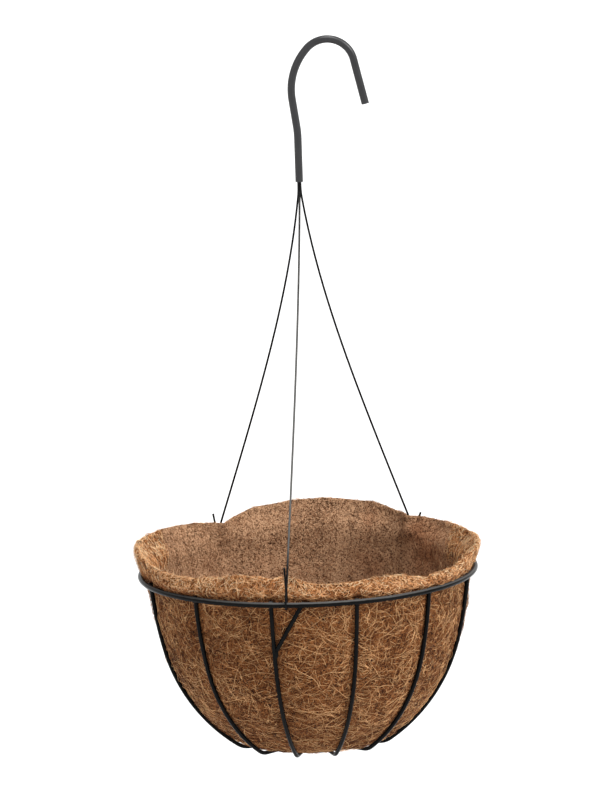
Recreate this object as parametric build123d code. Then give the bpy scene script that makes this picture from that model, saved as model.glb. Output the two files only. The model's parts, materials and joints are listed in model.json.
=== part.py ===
from build123d import *
from collections import namedtuple
from math import cos, degrees, radians, sin, sqrt
import os

# Wire hanging basket with a moulded coir liner, millimetres.
# +Z is up and the basket's axis is vertical. The front, where azimuth is 0, faces -Y, and
# azimuth grows towards +X. The frame's origin is the point inside the hook's crown that
# the basket hangs from. Heights below are measured from the rim ring's own plane, and
# every finished piece is moved by -hang_point() when it is written.

# ---------------------------------------------------------------- driving dimensions
RIM_R = 175.0            # rim ring's centreline, a 14 inch basket
RIM_WIRE_R = 2.75
RIB_COUNT = 12
RIB_WIRE_R = 2.15
FIRST_RIB = -13.2        # azimuth of the rib beside the front clip, degrees
WELD = 0.4               # depth that two welded wires sink into each other
RIB_RISE = 2.6           # how far a rib's end stands above the rim plane
# A rib leaves the rim leaning in by RIB_LEAN, then turns further in along three arcs.
RIB_LEAN = 5.1
RIB_ARCS = [(406.0, 10.2), (192.0, 39.8), (20.0, 34.9)]   # radius, turn in degrees
BASE_RING_R = 36.0
RIB_OVERRUN = 3.5        # rib's end past the base ring's centreline, inwards

STOP_REACH = 11.2        # azimuth from a rib to the top of its clip stop, degrees
STOP_DROP = 54.5         # height that a clip stop runs down from the rim
STOP_FOOT = 3.0          # end of a stop's centreline off its rib's, so that they weld

HANGER_WIRE_R = 1.1
BUNDLE_R = 1.32          # centres of the three wires, off the hook's centreline
RUN_CLEAR = 0.3          # gap between pieces that only rest against each other
# azimuth: where the clip holds the rim. bundle: the wire's place in the hook, degrees.
# rib: index of the rib with its stop. bow: how far the run turns after the mouth's bend.
# flare: lean of the clip's free end away from the wire. tail: that end's length.
Hanger = namedtuple("Hanger", "name azimuth bundle rib bow flare tail")
HANGERS = [
    Hanger("front", -7.6, -90.0, 0, 15.5, 17.0, 24.0),
    Hanger("right", 138.3, 30.0, 5, 14.9, 36.0, 15.0),
    Hanger("left", 213.5, 150.0, 7, 15.9, 17.0, 18.0),
]
# A hanger wire springs out of the sleeve's mouth and straightens towards its clip.
MOUTH_X = 4.5            # the mouth hangs off the basket's axis, pulled over by the hook
MOUTH_BEND = 12.6
MOUTH_BEND_R = 60.0
BOW_POWER = 2.8         # how early the bow is spent
BOW_SPANS = 8
CLIP_LEG = 13.0          # straight leg behind the ring, above its centre
CLIP_BEND_R = 8.0
CLIP_LEAN = 23.0         # lean of the front leg back over the ring
CLIP_NIP = 0.25          # gap where the two legs meet
CLIP_TAIL_R = 5.0

MOUTH_LEAD = 3.5         # least straight wire inside the sleeve's mouth
SLEEVE_R = 4.0
SLEEVE_BORE_R = 2.35     # a little less than the bundle, which it grips
TIP_INSET = 1.5          # the wires end this far inside the sleeve's tip
# The hook from the sleeve's mouth up: (length, None) runs straight, (radius, turn) bends.
HOOK = [(45.0, None), (100.0, -7.6), (28.0, None), (65.0, 50.6), (28.0, 124.0), (48.0, None)]
CROWN_BEND = 4           # the bend in HOOK that holds the crown

LINER_WALL = 9.0
LINER_BASE_LEAN = 53.0   # side's lean where it starts to round into the base
# The standing edge's outer face from the rim plane up: beside the ring, out over it, up.
COLLAR = [(3.0, None), (5.0, 50.0), (2.0, None), (18.0, -60.0), (24.0, None)]
LINER_EDGE = 32.5        # height of the cut edge above the rim, over the basket's axis
LINER_TILT = 1.5         # the edge stands higher at the back, degrees
# Each clip presses the edge in by a leaning cylinder that starts at PINCH_FOOT.
PINCH_R = 40.0
PINCH_LEAN = 25.0
PINCH_FOOT = 6.5
# The cut edge sags at these azimuths, behind the clips and between them: (azimuth, depth).
SAGS = [(-7.6, 3.0), (14.0, 6.0), (84.0, 6.0), (138.3, 11.0), (213.5, 11.0), (276.0, 4.0)]
SAG_R = 45.0


# ---------------------------------------------------------------- wire bending
def compass(azimuth):
    """Unit direction of an azimuth, 0 at the front (-Y) and growing towards +X."""
    return Vector(sin(radians(azimuth)), -cos(radians(azimuth)), 0)


def radial_plane(centre, outwards):
    """Vertical plane through centre with its X along outwards and its Y up."""
    return Plane(origin=centre, x_dir=outwards, z_dir=outwards.cross(Vector(0, 0, 1)))


def bend_path(start, heading, steps):
    """Edges of a bent wire in a plane. heading is degrees from +Y towards +X.

    A step is (length, None) for a straight run or (radius, turn) for an arc, and a
    positive turn goes towards +X while the wire runs up.
    """
    edges = []
    point = Vector(*start)
    for size, turn in steps:
        ahead = Vector(sin(radians(heading)), cos(radians(heading)))
        if turn is None:
            edge = Line(point, point + ahead * size)
        else:
            edge = JernArc(start=point, tangent=ahead, radius=size, arc_size=-turn)
            heading += turn
        edges.append(edge)
        point = edge @ 1
    return edges, point, heading


def tube(edges, radius):
    """Round wire swept along connected edges."""
    path = Wire([edge for part in edges for edge in part.edges()])
    section = Plane(origin=path @ 0, z_dir=path % 0) * Circle(radius)
    return sweep(section, path=path)


# ---------------------------------------------------------------- basket frame
def rib_steps(offset=0.0):
    """Steps of a rib's curve, or of the curve that runs beside it, offset outwards."""
    return [(radius + offset, turn) for radius, turn in RIB_ARCS]


RIB_TOP_R = RIM_R - RIM_WIRE_R - RIB_WIRE_R + WELD
_, rib_end, _ = bend_path((RIB_TOP_R, 0), 180 + RIB_LEAN, rib_steps())
RIB_FLAT = rib_end.X - BASE_RING_R + RIB_OVERRUN
BOWL_DEPTH = -rib_end.Y
BASE_RING_Z = -BOWL_DEPTH - 2 * RIB_WIRE_R + WELD


def make_rim():
    return Torus(RIM_R, RIM_WIRE_R)


def make_base_ring():
    return Pos(0, 0, BASE_RING_Z) * Torus(BASE_RING_R, RIB_WIRE_R)


def rib_azimuth(index):
    return FIRST_RIB + index * 360 / RIB_COUNT


def make_rib(azimuth):
    lean = radians(RIB_LEAN)
    start = (RIB_TOP_R + RIB_RISE * sin(lean), RIB_RISE * cos(lean))
    steps = [(RIB_RISE, None)] + rib_steps() + [(RIB_FLAT, None)]
    edges, _, _ = bend_path(start, 180 + RIB_LEAN, steps)
    plane = radial_plane((0, 0, 0), compass(azimuth))
    return tube([plane * edge for edge in edges], RIB_WIRE_R)


def rib_point(drop):
    """Radius and height of a rib's centreline at a drop below the rim, on its first arc."""
    radius = RIB_ARCS[0][0]
    lean = radians(RIB_LEAN)
    turned = sin(lean) + drop / radius
    return RIB_TOP_R - radius * (cos(lean) - sqrt(1 - turned ** 2)), -drop


def make_stop(azimuth):
    """Short diagonal wire from a rib's flank up to the inside of the rim ring.

    It bows with the bowl, so that the liner lies against it as against the ribs.
    """
    foot_r, foot_z = rib_point(STOP_DROP)
    middle_r, middle_z = rib_point(STOP_DROP / 2)
    foot = compass(azimuth) * foot_r + Vector(0, 0, foot_z)
    middle = compass(azimuth + STOP_REACH / 2) * middle_r + Vector(0, 0, middle_z)
    head = compass(azimuth + STOP_REACH) * RIB_TOP_R + Vector(0, 0, 1)
    along = (middle - foot).normalized()
    start = foot + along * (STOP_FOOT / sqrt(1 - along.Z ** 2))
    return tube([ThreePointArc(start, middle, head)], RIB_WIRE_R)


# ---------------------------------------------------------------- hanger
def hook_steps(offset=0.0):
    """Steps of the hook's curve, or of the curve beside it, offset towards +X."""
    steps = []
    for size, turn in HOOK:
        if turn is not None:
            size -= offset if turn > 0 else -offset
        steps.append((size, turn))
    return steps


def bow_steps(bow, length):
    """The hanger wire's spans, each a wide arc, with most of the turn near the mouth."""
    def leaned(share):
        return bow * (1 - (1 - share) ** BOW_POWER)

    steps = []
    for span in range(BOW_SPANS):
        turn = leaned((span + 1) / BOW_SPANS) - leaned(span / BOW_SPANS)
        arc = length / BOW_SPANS
        steps.append((degrees(arc / turn), -turn))
    return steps


LOOP_R = RIM_WIRE_R + HANGER_WIRE_R + RUN_CLEAR


def clip_steps(hanger):
    """From the wire's end, down behind the ring, under it, up in front and out."""
    nip = -LOOP_R + 2 * HANGER_WIRE_R + CLIP_NIP
    lean = radians(CLIP_LEAN)
    reach = LOOP_R * cos(lean) - nip - CLIP_TAIL_R * (1 - cos(lean))
    return [
        (CLIP_BEND_R, MOUTH_BEND + hanger.bow),
        (CLIP_LEG, None),
        (LOOP_R, -180.0 - CLIP_LEAN),
        (reach / sin(lean), None),
        (CLIP_TAIL_R, CLIP_LEAN + hanger.flare),
        (hanger.tail, None),
    ]


def drop_edges(hanger, mouth=None):
    """The wire from the sleeve's mouth, at a height above the rim, to its clip's tail.

    Its run is worked out so that the leg stands just inside the rim ring. With no mouth
    given it returns the height that the run alone reaches.
    """
    bundle = radians(hanger.bundle)
    top = Vector(MOUTH_X + BUNDLE_R * cos(bundle), BUNDLE_R * sin(bundle), 0)
    ring = compass(hanger.azimuth) * RIM_R
    outwards = (ring - top).normalized()
    spring = [(MOUTH_BEND_R, -MOUTH_BEND)]
    _, knee, _ = bend_path((0, 0), 180, spring)
    _, unit, lean = bend_path((0, 0), 180 - MOUTH_BEND, bow_steps(hanger.bow, 1.0))
    _, bend, _ = bend_path((0, 0), lean, [(CLIP_BEND_R, MOUTH_BEND + hanger.bow)])
    run = ((ring - top).length - LOOP_R - knee.X - bend.X) / unit.X
    height = CLIP_LEG - bend.Y - unit.Y * run - knee.Y
    if mouth is None:
        return height
    steps = [(mouth - height, None)] + spring + bow_steps(hanger.bow, run) + clip_steps(hanger)
    edges, _, _ = bend_path((0, mouth), 180, steps)
    plane = radial_plane(top, outwards)
    return [plane * edge for edge in edges]


MOUTH_Z = max(drop_edges(hanger) for hanger in HANGERS) + MOUTH_LEAD


def make_hanger(hanger):
    """One wire: hook's tip, round the hook inside the sleeve, out of its mouth to the clip."""
    side = BUNDLE_R * cos(radians(hanger.bundle))
    depth = BUNDLE_R * sin(radians(hanger.bundle))
    plane = radial_plane((MOUTH_X, depth, MOUTH_Z), Vector(1, 0, 0))
    steps = hook_steps(side)
    steps[-1] = (steps[-1][0] - TIP_INSET, None)
    hook, _, _ = bend_path((side, 0), 0, steps)
    drop = drop_edges(hanger, MOUTH_Z)
    return tube([plane * edge for edge in hook] + drop, HANGER_WIRE_R)


def make_sleeve():
    edges, _, _ = bend_path((0, 0), 0, HOOK)
    plane = radial_plane((MOUTH_X, 0, MOUTH_Z), Vector(1, 0, 0))
    edges = [plane * edge for edge in edges]
    return tube(edges, SLEEVE_R) - tube(edges, SLEEVE_BORE_R)


def hang_point():
    """Inside of the hook's crown, where a bracket or rod carries it."""
    _, point, heading = bend_path((0, 0), 0, HOOK[:CROWN_BEND])
    radius = HOOK[CROWN_BEND][0]
    crown_x = point.X + radius * cos(radians(heading))
    crown_z = point.Y + radius * (1 - sin(radians(heading)))
    return Vector(MOUTH_X + crown_x, 0, MOUTH_Z + crown_z - SLEEVE_R)


# ---------------------------------------------------------------- coir liner
def side_profile(offset):
    """Side and base curve of the bowl at an offset outwards from the ribs' centreline.

    The sides run beside the ribs, and a last arc brings the base level to its own offset.
    """
    (upper_r, upper_turn), (lower_r, _), _ = RIB_ARCS
    lower_turn = LINER_BASE_LEAN - upper_turn - RIB_LEAN
    steps = [(upper_r + offset, upper_turn), (lower_r + offset, lower_turn)]
    start = (RIB_TOP_R + offset, 0)
    _, side, _ = bend_path(start, 180 + RIB_LEAN, steps)
    corner_r = (side.Y + BOWL_DEPTH + offset) / (1 - sin(radians(LINER_BASE_LEAN)))
    steps.append((corner_r, 90 - LINER_BASE_LEAN))
    edges, point, _ = bend_path(start, 180 + RIB_LEAN, steps)
    return edges, point


def collar_steps(depth):
    """Steps of the standing edge's profile, depth inside its outer face."""
    steps = []
    for size, turn in COLLAR:
        if turn is not None:
            size += depth if turn > 0 else -depth
        steps.append((size, turn))
    return steps


def make_pinch(azimuth, depth):
    """Cylinder that presses the edge in behind a clip, depth further in at its inner face."""
    outwards = compass(azimuth)
    lean = radians(PINCH_LEAN)
    foot = outwards * (RIB_TOP_R - RIB_WIRE_R - RUN_CLEAR) + Vector(0, 0, PINCH_FOOT)
    centre = foot + (outwards * cos(lean) + Vector(0, 0, sin(lean))) * PINCH_R
    along = Vector(0, 0, cos(lean)) - outwards * sin(lean)
    return Plane(origin=centre, z_dir=along) * Cylinder(PINCH_R + depth, 3 * PINCH_R)


def liner_form(depth):
    """Solid up to the felt's outer face, or up to a face that lies depth inside it."""
    edges, base = side_profile(-RIB_WIRE_R - RUN_CLEAR - depth)
    collar, top, _ = bend_path(edges[0] @ 0, RIB_LEAN, collar_steps(depth))
    centre = [(0, base.Y), (0, top.Y)]
    lines = [Line(base, centre[0]), Line(*centre), Line(centre[1], top)]
    form = revolve(Plane.XZ * make_face(Curve() + edges + collar + lines), Axis.Z)
    for hanger in HANGERS:
        form -= make_pinch(hanger.azimuth, depth)
    return form


def edge_waste():
    """Everything above the felt's cut edge."""
    room = 3 * RIM_R
    flat = Plane(origin=(0, 0, LINER_EDGE)).rotated((LINER_TILT, 0, 0))
    waste = flat * Box(room, room, SAG_R, align=(Align.CENTER, Align.CENTER, Align.MIN))
    for azimuth, depth in SAGS:
        outwards = compass(azimuth)
        height = LINER_EDGE + outwards.Y * RIM_R * sin(radians(LINER_TILT))
        centre = outwards * RIM_R + Vector(0, 0, height - depth + SAG_R)
        waste += Plane(origin=centre, z_dir=outwards) * Cylinder(SAG_R, RIM_R / 2)
    return waste


def make_liner():
    """Felt of one thickness, moulded to the ribs and pressed in behind the clips."""
    return liner_form(0) - edge_waste() - liner_form(LINER_WALL)


# ---------------------------------------------------------------- the whole basket
def make_parts():
    parts = {"rim_ring": make_rim(), "base_ring": make_base_ring()}
    for index in range(RIB_COUNT):
        parts[f"rib_{index + 1:02d}"] = make_rib(rib_azimuth(index))
    for hanger in HANGERS:
        parts[f"clip_stop_{hanger.name}"] = make_stop(rib_azimuth(hanger.rib))
        parts[f"hanger_wire_{hanger.name}"] = make_hanger(hanger)
    parts["hook_sleeve"] = make_sleeve()
    parts["coir_liner"] = make_liner()
    return parts


def main():
    os.makedirs("parts", exist_ok=True)
    shift = -hang_point()
    print("hang point above the rim", -shift.Z, "off the axis", -shift.X)
    print("bowl depth", BOWL_DEPTH, "mouth height", MOUTH_Z)
    for name, shape in make_parts().items():
        moved = Pos(shift) * shape
        export_step(moved, f"parts/{name}.step")


main()
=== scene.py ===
# %% [markdown]
# # A wire hanging basket with a coir liner
# The basket's wires, its hook and its liner come from the packed CAD model at their real
# size and place. This script gives them their looks: baked-on black paint for the wires,
# soft black plastic for the hook's sleeve, and a felt of coconut fibre for the liner.
# Everything is in metres, +Z is up, and the front of the basket faces -Y.

# %% Load the frame
import json
from math import cos, pi, radians, sin, tau

import bpy
import numpy as np
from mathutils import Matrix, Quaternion, Vector

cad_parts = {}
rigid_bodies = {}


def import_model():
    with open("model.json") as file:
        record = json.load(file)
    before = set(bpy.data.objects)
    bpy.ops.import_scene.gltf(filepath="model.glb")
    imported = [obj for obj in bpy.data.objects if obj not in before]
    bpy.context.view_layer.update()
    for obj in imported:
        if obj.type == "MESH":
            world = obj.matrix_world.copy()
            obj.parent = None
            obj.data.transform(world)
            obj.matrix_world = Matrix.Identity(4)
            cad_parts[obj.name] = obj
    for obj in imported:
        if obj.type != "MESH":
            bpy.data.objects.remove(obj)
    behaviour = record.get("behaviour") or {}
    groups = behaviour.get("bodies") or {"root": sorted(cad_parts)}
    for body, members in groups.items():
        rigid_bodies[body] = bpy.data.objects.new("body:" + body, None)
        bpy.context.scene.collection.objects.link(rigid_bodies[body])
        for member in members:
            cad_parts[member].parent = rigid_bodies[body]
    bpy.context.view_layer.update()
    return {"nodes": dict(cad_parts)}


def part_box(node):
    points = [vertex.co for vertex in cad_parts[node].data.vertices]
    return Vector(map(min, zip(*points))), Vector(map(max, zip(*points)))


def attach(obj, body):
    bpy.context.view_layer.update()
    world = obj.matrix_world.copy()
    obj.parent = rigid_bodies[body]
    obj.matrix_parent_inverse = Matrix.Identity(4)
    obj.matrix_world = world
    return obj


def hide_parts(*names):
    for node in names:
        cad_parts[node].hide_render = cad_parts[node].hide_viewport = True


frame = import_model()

# %% [markdown]
# ## Where the basket is
# The rim ring is the basket's datum. Its box gives the wire's radius, the ring's radius
# and the middle of its plane, and every later shape is worked out from those three.

# %% Measure the rim
rim_low, rim_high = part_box("rim_ring")
base_low, base_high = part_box("base_ring")
BASKET = (rim_low + rim_high) / 2
RIM_WIRE_R = (rim_high.z - rim_low.z) / 2
RIM_R = (rim_high.x - rim_low.x) / 2 - RIM_WIRE_R
RIB_WIRE_R = (base_high.z - base_low.z) / 2
print("rim radius", round(RIM_R, 4), "its wire", round(RIM_WIRE_R, 4), "ribs", round(RIB_WIRE_R, 4))

# %% [markdown]
# ## The camera
# The basket is seen from a little above, through a long lens that stands far off, so its
# rim looks like a nearly flat oval. A short lens close by would open the oval more at the
# front than at the back. The camera is turned slightly about its own line of sight.

# %% Set up the camera
AIM = BASKET + Vector((0.0041, 0.0, 0.1857))
STAND_OFF = 8.0
LOOK_DOWN = radians(10.33)
CAMERA_ROLL = radians(-1.9)

camera_data = bpy.data.cameras.new("camera")
camera_data.lens = 350.0
camera_data.sensor_width = 36.0
camera_data.clip_start = 0.1
camera_data.clip_end = 60.0
camera = bpy.data.objects.new("camera", camera_data)
sight = Vector((0.0, cos(LOOK_DOWN), -sin(LOOK_DOWN)))
camera.location = AIM - sight * STAND_OFF
camera.rotation_mode = "QUATERNION"
camera.rotation_quaternion = sight.to_track_quat("-Z", "Y") @ Quaternion((0, 0, 1), CAMERA_ROLL)
bpy.context.scene.collection.objects.link(camera)
bpy.context.scene.camera = camera
bpy.context.scene.view_settings.view_transform = "Standard"
print("camera stands", STAND_OFF, "m off and looks down by", round(LOOK_DOWN, 3), "rad")

# %% [markdown]
# ## Writing shaders as arithmetic
# A material is a graph of nodes, and wiring one by hand hides what it works out. Here an
# output of a node is wrapped in a small class that knows Python's operators, so a pattern
# reads as a formula. Each operator adds one Math node. Any other node comes from the one
# method `node`, which sets the node's own settings first and then its inputs.


# %% The classes that write materials
class Signal:
    """A number or colour that runs through a material, with Python's arithmetic on it."""

    def __init__(self, finish, socket):
        self.finish = finish
        self.socket = socket

    def worked(self, operation, first, second):
        return self.finish.node("ShaderNodeMath", {"operation": operation}, {0: first, 1: second})

    def __add__(self, other):
        return self.worked("ADD", self, other)

    def __sub__(self, other):
        return self.worked("SUBTRACT", self, other)

    def __rsub__(self, other):
        return self.worked("SUBTRACT", other, self)

    def __mul__(self, other):
        return self.worked("MULTIPLY", self, other)

    def __truediv__(self, other):
        return self.worked("DIVIDE", self, other)

    def __pow__(self, other):
        return self.worked("POWER", self, other)

    def __abs__(self):
        return self.worked("ABSOLUTE", self, 0.0)

    def at_least(self, other):
        return self.worked("MAXIMUM", self, other)

    __radd__ = __add__
    __rmul__ = __mul__


class Wiring:
    """The nodes of a world or a material, emptied and ready to be wired."""

    def __init__(self, owner):
        owner.use_nodes = True
        self.tree = owner.node_tree
        self.tree.nodes.clear()

    def feed(self, socket, value):
        """Links a signal to a socket, or sets the socket to a plain value."""
        if isinstance(value, Signal):
            self.tree.links.new(value.socket, socket)
        else:
            socket.default_value = value

    def node(self, kind, settings, inputs, output=0):
        """Adds a node. Settings go on the node itself, and "stops" fills its colour ramp."""
        made = self.tree.nodes.new(kind)
        for key, value in settings.items():
            if key == "stops":
                while len(made.color_ramp.elements) < len(value):
                    made.color_ramp.elements.new(1.0)
                for stop, (place, colour) in zip(made.color_ramp.elements, value):
                    stop.position = place
                    stop.color = colour
            else:
                setattr(made, key, value)
        for key, value in inputs.items():
            self.feed(made.inputs[key], value)
        return Signal(self, made.outputs[output])

    def places(self):
        return self.node("ShaderNodeTexCoord", {}, {}, output="Object")

    def map(self):
        return self.node("ShaderNodeTexCoord", {}, {}, output="UV")

    def attribute(self, name):
        return self.node("ShaderNodeAttribute", {"attribute_name": name}, {}, output="Fac")

    def split(self, vector):
        """The three numbers of a vector."""
        parts = self.node("ShaderNodeSeparateXYZ", {}, {"Vector": vector})
        return [Signal(self, socket) for socket in parts.socket.node.outputs]

    def noise(self, size, detail=2.0, roughness=0.5, places=None, twist=0.0, pick=0.0):
        """Cloudy pattern from 0 to 1 whose lumps are about size metres apart.

        twist curls it up on itself, and each pick gives another pattern of the kind.
        """
        inputs = {
            "Vector": places or self.places(),
            "W": pick,
            "Scale": 1 / size,
            "Detail": detail,
            "Roughness": roughness,
            "Distortion": twist,
        }
        return self.node("ShaderNodeTexNoise", {"noise_dimensions": "4D"}, inputs)

    def ramp(self, factor, stops):
        """Colour that runs through stops of (place, colour) as factor goes from 0 to 1."""
        return self.node("ShaderNodeValToRGB", {"stops": stops}, {"Fac": factor})

    def fade(self, factor, low, high):
        """0 below low and 1 above high, both within 0 to 1, straight between them."""
        return self.ramp(factor, [(low, BLACK), (high, WHITE)])

    def mix(self, factor, first, second, blend_type="MIX"):
        """Colour mix, from first to second."""
        settings = {"data_type": "RGBA", "blend_type": blend_type}
        inputs = {"Factor": factor, 6: first, 7: second}
        return self.node("ShaderNodeMix", settings, inputs, output=2)

    def tinted(self, colour, tint):
        """A colour multiplied by another."""
        return self.mix(1.0, colour, tint, blend_type="MULTIPLY")

    def bump(self, height, strength, distance):
        inputs = {"Height": height, "Strength": strength, "Distance": distance}
        return self.node("ShaderNodeBump", {}, inputs)


class Finish(Wiring):
    """A material for one of the basket's surfaces, with a Principled shader."""

    def __init__(self, name):
        self.material = bpy.data.materials.new(name)
        super().__init__(self.material)
        self.shader = self.tree.nodes.new("ShaderNodeBsdfPrincipled")
        output = self.tree.nodes.new("ShaderNodeOutputMaterial")
        self.tree.links.new(self.shader.outputs[0], output.inputs["Surface"])

    def set(self, **values):
        """Sets inputs of the Principled shader, with _ for a space in their names."""
        for key, value in values.items():
            self.feed(self.shader.inputs[key.replace("_", " ")], value)


def opaque(red, green, blue):
    return (red, green, blue, 1.0)


def grey(level):
    return opaque(level, level, level)


BLACK = grey(0.0)
WHITE = grey(1.0)
print("operators ready:", [name for name in vars(Signal) if name.startswith("__r")])

# %% [markdown]
# ## The stage
# The floor is far below the hung basket, wide and pale, and takes its shadow. The world
# is white to the camera and to reflections, and dimmer as a light, so the background is
# clean without more light on the basket. The lamps are soft suns, which light the floor
# near and far alike. The main one stands high at the front right, so the right flank is
# the brighter one and the inside right of the bowl is shaded. The second is nearly
# overhead, for the standing edge and a thin highlight along the ring, and a faint third
# one at the front left opens the shadows.

# %% Build the floor, the world and the lamps
FLOOR_DROP = 0.42
FLOOR_HALF = 30.0
FLOOR_GLOW = 0.10


def seen_directly(finish):
    """1 for rays of the camera, of reflections and of see-through surfaces, else 0."""
    kinds = ("Is Camera Ray", "Is Glossy Ray", "Is Transmission Ray")
    camera_ray, glossy, see_through = [
        finish.node("ShaderNodeLightPath", {}, {}, output=kind) for kind in kinds
    ]
    return camera_ray.at_least(glossy).at_least(see_through)


def make_floor():
    floor_z = rim_low.z - FLOOR_DROP
    signs = ((-1, -1), (1, -1), (1, 1), (-1, 1))
    corners = [(x * FLOOR_HALF, y * FLOOR_HALF, floor_z) for x, y in signs]
    mesh = bpy.data.meshes.new("floor")
    mesh.from_pydata(corners, [], [(0, 1, 2, 3)])
    floor = bpy.data.objects.new("floor", mesh)
    bpy.context.scene.collection.objects.link(floor)
    finish = Finish("pale_floor")
    glow = finish.mix(seen_directly(finish), BLACK, WHITE)
    finish.set(Base_Color=grey(0.78), Roughness=0.9, Specular_IOR_Level=0.1)
    finish.set(Emission_Color=glow, Emission_Strength=FLOOR_GLOW)
    mesh.materials.append(finish.material)


def make_world(ambient):
    world = bpy.data.worlds.new("studio")
    bpy.context.scene.world = world
    studio = Wiring(world)
    shade = studio.node("ShaderNodeBackground", {}, {"Color": WHITE, "Strength": ambient})
    white = studio.node("ShaderNodeBackground", {}, {"Color": WHITE, "Strength": 1.0})
    both = studio.node("ShaderNodeMixShader", {}, {0: seen_directly(studio), 1: shade, 2: white})
    output = studio.tree.nodes.new("ShaderNodeOutputWorld")
    studio.feed(output.inputs["Surface"], both)


def make_lamp(name, place, strength, spread):
    """Soft sun that shines from a place towards the basket, spread degrees wide."""
    lamp = bpy.data.lights.new(name, "SUN")
    lamp.energy = strength
    lamp.angle = radians(spread)
    holder = bpy.data.objects.new(name, lamp)
    holder.location = BASKET + Vector(place)
    holder.rotation_euler = (-Vector(place)).to_track_quat("-Z", "Y").to_euler()
    bpy.context.scene.collection.objects.link(holder)


make_floor()
make_world(ambient=0.40)
make_lamp("key_lamp", (2.4, -1.3, 1.7), strength=2.5, spread=20.0)
make_lamp("top_lamp", (0.3, -0.6, 2.6), strength=2.6, spread=26.0)
make_lamp("fill_lamp", (-2.0, -2.2, 0.7), strength=0.50, spread=50.0)

# %% [markdown]
# ## Baked paint on the wires
# The ring, ribs and clip stops are steel, dipped and baked with a black paint. Close by,
# such paint isn't flat: it flows into a fine orange peel, it is a little greyer where it
# is thick, and handling polishes it in places. Noise of three sizes gives those. What faces
# up, above all on the ring, is painted a matt grey: a painted highlight of the lamps above,
# weaker at the sides of the rim, most of all on its -X side.

# %% Finish the frame's wires
# Painted highlight: up-facing paint is laid over with a matt grey where the lamps above would shine
# on it.
HIGHLIGHT_GREY = opaque(0.125, 0.121, 0.116)
HIGHLIGHT_SOFTNESS = 0.22
HIGHLIGHT_CUT_FADE = 0.025
# How strong the painted highlight is across the rim, from its -X side, at 0, to its +X side, at 1.
HIGHLIGHT_ACROSS = [(0.0, grey(0.15)), (0.4, WHITE), (0.7, WHITE), (1.0, grey(0.75))]
# Painted reflection: the lowest bends of the ribs are painted grey, for the pale floor below.
LOW_SHEEN_GREY = opaque(0.150, 0.148, 0.145)
LOW_SHEEN_HEIGHT = 0.004


def settled_dust(finish, scuff, dust, dust_from, wiped_to=-1.0):
    """How much painted highlight a place gets: highlight where it faces up by dust_from
    and HIGHLIGHT_SOFTNESS more. The grey stands in for the shine of the lamps above.

    Scuffs break up its border. It stops below wiped_to metres above the rim, and it
    is weaker at both sides, as HIGHLIGHT_ACROSS says.
    """
    facing = finish.node("ShaderNodeTexCoord", {}, {}, output="Normal")
    upwards = finish.split(facing)[2] * 0.85 + scuff * 0.30
    place_x, _, place_z = finish.split(finish.places())
    facing_up_share = finish.fade(upwards, dust_from, dust_from + HIGHLIGHT_SOFTNESS) * dust
    above_highlight_cut = finish.fade((place_z - BASKET.z - wiped_to) / HIGHLIGHT_CUT_FADE, 0.0, 1.0)
    across = (place_x - BASKET.x) / (2 * RIM_R) + 0.5
    return facing_up_share * above_highlight_cut * finish.ramp(across, HIGHLIGHT_ACROSS)


def painted_wire(name, light, roughness, peel, **dusting):
    """Black paint, as pale as light where it is thick, with an orange peel that is peel
    metres deep, and a grey painted highlight where it faces up. The lowest bends, up to
    about LOW_SHEEN_HEIGHT above the base ring's foot, are painted grey as a painted
    reflection of the floor."""
    finish = Finish(name)
    cloud = finish.noise(0.035, detail=3.0)
    fine = finish.noise(0.0016, detail=2.0)
    scuff = finish.noise(0.007, detail=4.0, roughness=0.65)
    paint = finish.ramp(cloud * 0.6 + scuff * 0.4, [(0.36, grey(0.002)), (0.66, light)])
    # The grey on up-facing paint is a painted highlight.
    highlight_share = settled_dust(finish, scuff, **dusting)
    # The lowest bends are painted grey, a painted reflection of the floor.
    above_foot = (finish.split(finish.places())[2] - base_low.z) / LOW_SHEEN_HEIGHT
    kept = finish.fade(above_foot + scuff * 0.6, 0.55, 1.0)
    finish.set(
        Base_Color=finish.mix(kept, LOW_SHEEN_GREY, finish.mix(highlight_share, paint, HIGHLIGHT_GREY)),
        Roughness=scuff * 0.10 + highlight_share * 0.25 + (roughness - 0.05),
        Specular_IOR_Level=0.05,
        Normal=finish.bump(fine * 0.7 + scuff * 0.5, 0.55, peel),
    )
    return finish.material


def dress(material, *nodes):
    """Puts one material on CAD nodes in place of the packed one."""
    for name in nodes:
        mesh = frame["nodes"][name].data
        mesh.materials.clear()
        mesh.materials.append(material)


RIBS = sorted(name for name in frame["nodes"] if name.startswith("rib_"))
STOPS = sorted(name for name in frame["nodes"] if name.startswith("clip_stop_"))
WIRES = sorted(name for name in frame["nodes"] if name.startswith("hanger_wire_"))
frame_paint = painted_wire(
    "frame_paint", grey(0.005), roughness=0.22, peel=0.00010, dust=0.58, dust_from=0.48
)
wire_paint = painted_wire(
    "wire_paint", opaque(0.007, 0.007, 0.008), roughness=0.20, peel=0.00005,
    dust=0.75, dust_from=0.26, wiped_to=0.035,
)
dress(frame_paint, "rim_ring", "base_ring", *RIBS, *STOPS)
dress(wire_paint, *WIRES)
print("painted", len(RIBS), "ribs,", len(STOPS), "clip stops and", len(WIRES), "hanger wires")

# %% [markdown]
# ## The hook's sleeve
# The three hanger wires run side by side through a black plastic tube, which is bent with
# them into the hook. Soft plastic is less glossy than paint and shows faint streaks along
# its length from being drawn out, so its noise is stretched upwards.

# %% Finish the sleeve
STREAK_STRETCH = (1.0, 1.0, 0.12)


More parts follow.
